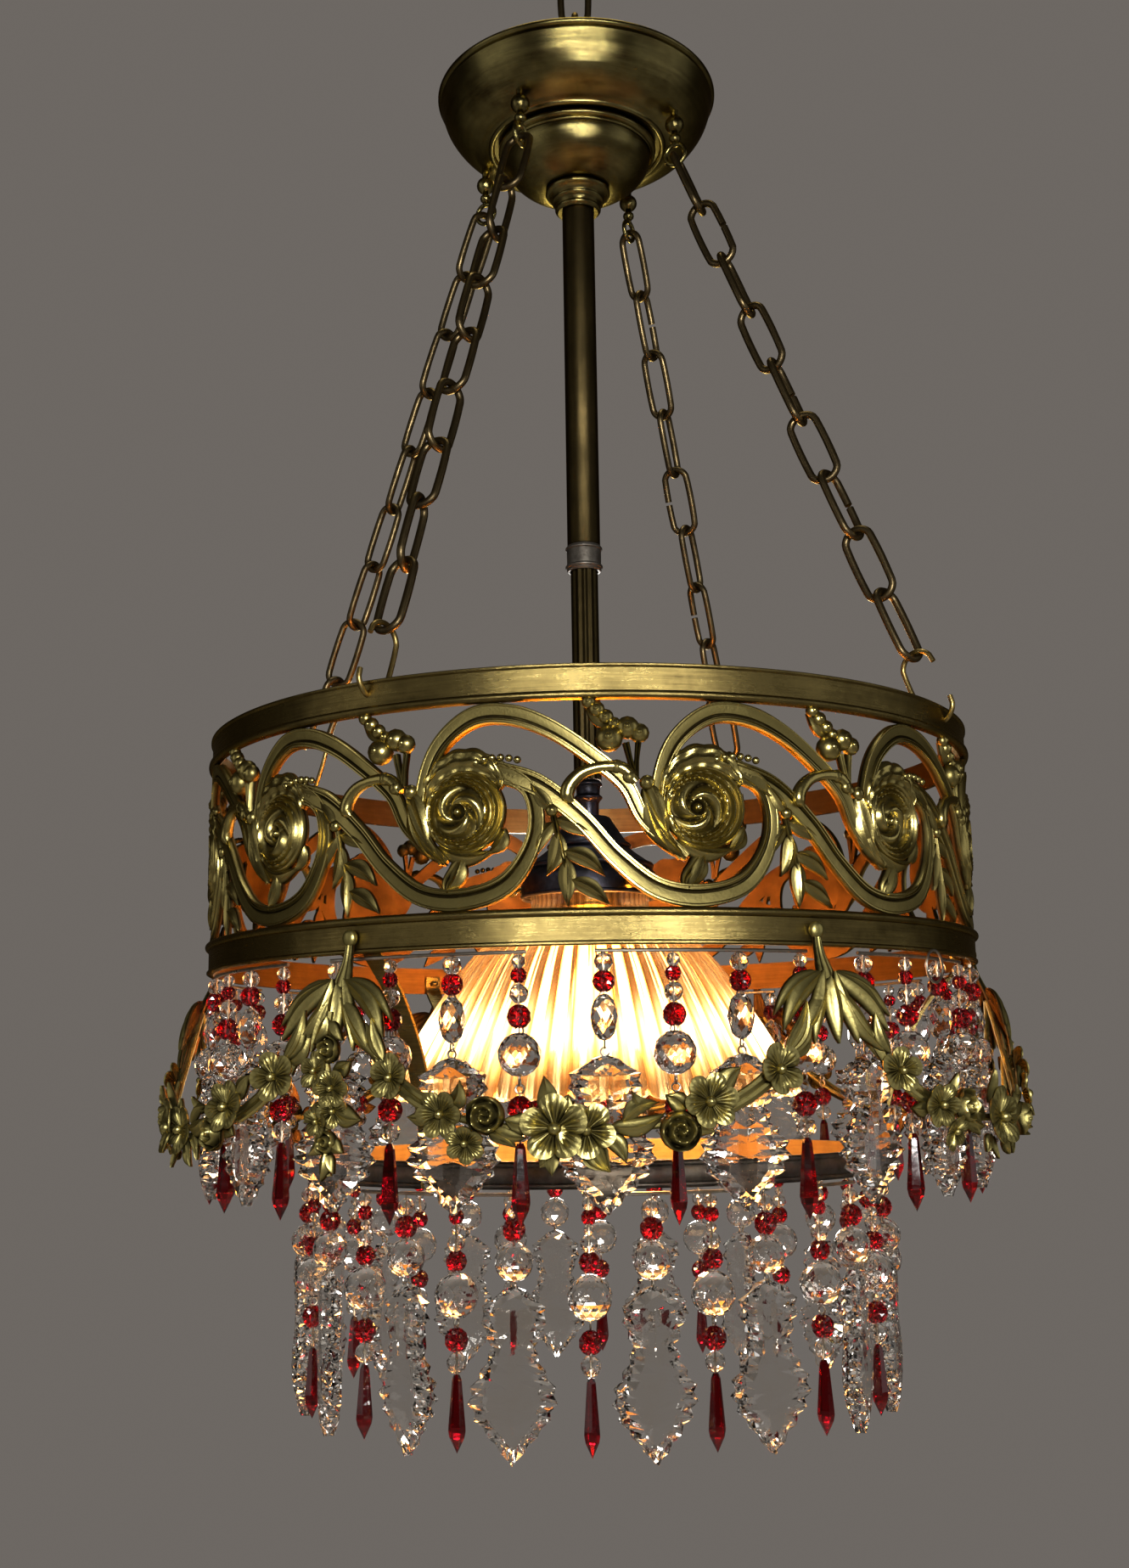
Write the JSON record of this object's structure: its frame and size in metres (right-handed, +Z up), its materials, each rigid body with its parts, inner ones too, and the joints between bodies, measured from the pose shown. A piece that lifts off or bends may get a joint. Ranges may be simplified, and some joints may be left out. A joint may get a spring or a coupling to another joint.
{
  "type": "hanging lamp",
  "caption": "Brass hanging lamp: ceiling canopy on a link chain, stem with a lit bell shade, an openwork drum on chains with flower garlands, and two tiers of swinging crystal strands.",
  "frame": {"origin": "where the ceiling hook bears, inside the top of the upper suspension link, on the lamp's axis", "axes": "+Z up along the stem, -Y towards the front of the lamp, +X to the right seen from the front"},
  "size_m": [0.4182, 0.4204, 0.776],
  "materials": {
    "dark_brass": "dark aged patina",
    "spun_brass": "spun, lightly tarnished",
    "aged_brass": "aged, satin",
    "cast_brass": "cast relief, olive patina in the hollows",
    "bronze": "dark blue-black bronze",
    "tin": "satin",
    "bulb_glass": "lit, frosted",
    "shade_glass": "pressed ribs, clear",
    "crystal": "cut crystal with garnet-red beads"
  },
  "bodies": {
    "lamp": {"suspension_link_upper": "dark_brass", "suspension_link_lower": "dark_brass", "hanging_loop": "dark_brass", "stem_sleeve": "dark_brass", "stem_coupling": "dark_brass", "canopy_hook_1": "dark_brass", "canopy_hook_2": "dark_brass", "canopy_hook_3": "dark_brass", "canopy_hook_4": "dark_brass", "chain_1": "dark_brass", "chain_2": "dark_brass", "chain_3": "dark_brass", "chain_4": "dark_brass", "ceiling_canopy": "spun_brass", "canopy_cup": "spun_brass", "canopy_collar": "spun_brass", "stem_tube": "spun_brass", "reeded_tube": "aged_brass", "upper_rim_band": "aged_brass", "lower_rim_band": "aged_brass", "inner_ring": "aged_brass", "ring_bracket_1": "aged_brass", "ring_bracket_2": "aged_brass", "ring_bracket_3": "aged_brass", "scroll_frieze": "cast_brass", "garland_swag_1": "cast_brass", "garland_swag_2": "cast_brass", "garland_swag_3": "cast_brass", "garland_swag_4": "cast_brass", "garland_swag_5": "cast_brass", "garland_swag_6": "cast_brass", "garland_drop_1": "cast_brass", "garland_drop_2": "cast_brass", "garland_drop_3": "cast_brass", "shade_gallery": "bronze", "lamp_holder": "bronze", "glass_shade": "shade_glass"},
    "bulb": {"light_bulb": "bulb_glass", "bulb_cap": "tin"},
    "screw_1": {"gallery_screw_1": "dark_brass"},
    "screw_2": {"gallery_screw_2": "dark_brass"},
    "screw_3": {"gallery_screw_3": "dark_brass"},
    "upper_group_1": {"upper_strands_1": "crystal"},
    "upper_group_2": {"upper_strands_2": "crystal"},
    "upper_group_3": {"upper_strands_3": "crystal"},
    "upper_group_4": {"upper_strands_4": "crystal"},
    "upper_group_5": {"upper_strands_5": "crystal"},
    "upper_group_6": {"upper_strands_6": "crystal"},
    "upper_group_7": {"upper_strands_7": "crystal"},
    "upper_group_8": {"upper_strands_8": "crystal"},
    "upper_group_9": {"upper_strands_9": "crystal"},
    "upper_group_10": {"upper_strands_10": "crystal"},
    "lower_group_1": {"lower_strands_1": "crystal"},
    "lower_group_2": {"lower_strands_2": "crystal"},
    "lower_group_3": {"lower_strands_3": "crystal"},
    "lower_group_4": {"lower_strands_4": "crystal"},
    "lower_group_5": {"lower_strands_5": "crystal"},
    "lower_group_6": {"lower_strands_6": "crystal"},
    "lower_group_7": {"lower_strands_7": "crystal"},
    "lower_group_8": {"lower_strands_8": "crystal"}
  },
  "joints": [
    {"name": "bulb_draw", "type": "slide", "parent": "lamp", "child": "bulb", "axis": [0, 0, -1], "range_m": [0, 0.034]},
    {"name": "screw_1_back_off", "type": "slide", "parent": "lamp", "child": "screw_1", "axis": [0.5, -0.866, 0], "range_m": [0, 0.006]},
    {"name": "screw_2_back_off", "type": "slide", "parent": "lamp", "child": "screw_2", "axis": [0.5, 0.866, 0], "range_m": [0, 0.006]},
    {"name": "screw_3_back_off", "type": "slide", "parent": "lamp", "child": "screw_3", "axis": [-1, 0, 0], "range_m": [0, 0.006]},
    {"name": "upper_swing_1", "type": "hinge", "parent": "lamp", "child": "upper_group_1", "pos_m": [0.04321, -0.17998, -0.5681], "axis": [0.9724, 0.2334, 0], "range_deg": [-3, 10]},
    {"name": "upper_swing_2", "type": "hinge", "parent": "lamp", "child": "upper_group_2", "pos_m": [0.14075, -0.12021, -0.5681], "axis": [0.6494, 0.7604, 0], "range_deg": [-3, 10]},
    {"name": "upper_swing_3", "type": "hinge", "parent": "lamp", "child": "upper_group_3", "pos_m": [0.18452, -0.01452, -0.5681], "axis": [0.0785, 0.9969, 0], "range_deg": [-3, 10]},
    {"name": "upper_swing_4", "type": "hinge", "parent": "lamp", "child": "upper_group_4", "pos_m": [0.15782, 0.09671, -0.5681], "axis": [-0.5225, 0.8526, 0], "range_deg": [-3, 10]},
    {"name": "upper_swing_5", "type": "hinge", "parent": "lamp", "child": "upper_group_5", "pos_m": [0.07083, 0.171, -0.5681], "axis": [-0.9239, 0.3827, 0], "range_deg": [-3, 10]},
    {"name": "upper_swing_6", "type": "hinge", "parent": "lamp", "child": "upper_group_6", "pos_m": [-0.04321, 0.17998, -0.5681], "axis": [-0.9724, -0.2334, 0], "range_deg": [-3, 10]},
    {"name": "upper_swing_7", "type": "hinge", "parent": "lamp", "child": "upper_group_7", "pos_m": [-0.14075, 0.12021, -0.5681], "axis": [-0.6494, -0.7604, 0], "range_deg": [-3, 10]},
    {"name": "upper_swing_8", "type": "hinge", "parent": "lamp", "child": "upper_group_8", "pos_m": [-0.18452, 0.01452, -0.5681], "axis": [-0.0785, -0.9969, 0], "range_deg": [-3, 10]},
    {"name": "upper_swing_9", "type": "hinge", "parent": "lamp", "child": "upper_group_9", "pos_m": [-0.15782, -0.09671, -0.5681], "axis": [0.5225, -0.8526, 0], "range_deg": [-3, 10]},
    {"name": "upper_swing_10", "type": "hinge", "parent": "lamp", "child": "upper_group_10", "pos_m": [-0.07083, -0.171, -0.5681], "axis": [0.9239, -0.3827, 0], "range_deg": [-3, 10]},
    {"name": "lower_swing_1", "type": "hinge", "parent": "lamp", "child": "lower_group_1", "pos_m": [0.03344, -0.13338, -0.6656], "axis": [0.97, 0.2432, 0], "range_deg": [-7, 7]},
    {"name": "lower_swing_2", "type": "hinge", "parent": "lamp", "child": "lower_group_2", "pos_m": [0.11796, -0.07067, -0.6656], "axis": [0.5139, 0.8578, 0], "range_deg": [-7, 7]},
    {"name": "lower_swing_3", "type": "hinge", "parent": "lamp", "child": "lower_group_3", "pos_m": [0.13338, 0.03344, -0.6656], "axis": [-0.2432, 0.97, 0], "range_deg": [-7, 7]},
    {"name": "lower_swing_4", "type": "hinge", "parent": "lamp", "child": "lower_group_4", "pos_m": [0.07067, 0.11796, -0.6656], "axis": [-0.8578, 0.5139, 0], "range_deg": [-7, 7]},
    {"name": "lower_swing_5", "type": "hinge", "parent": "lamp", "child": "lower_group_5", "pos_m": [-0.03344, 0.13338, -0.6656], "axis": [-0.97, -0.2432, 0], "range_deg": [-7, 7]},
    {"name": "lower_swing_6", "type": "hinge", "parent": "lamp", "child": "lower_group_6", "pos_m": [-0.11796, 0.07067, -0.6656], "axis": [-0.5139, -0.8578, 0], "range_deg": [-7, 7]},
    {"name": "lower_swing_7", "type": "hinge", "parent": "lamp", "child": "lower_group_7", "pos_m": [-0.13338, -0.03344, -0.6656], "axis": [0.2432, -0.97, 0], "range_deg": [-7, 7]},
    {"name": "lower_swing_8", "type": "hinge", "parent": "lamp", "child": "lower_group_8", "pos_m": [-0.07067, -0.11796, -0.6656], "axis": [0.8578, -0.5139, 0], "range_deg": [-7, 7]}
  ]
}
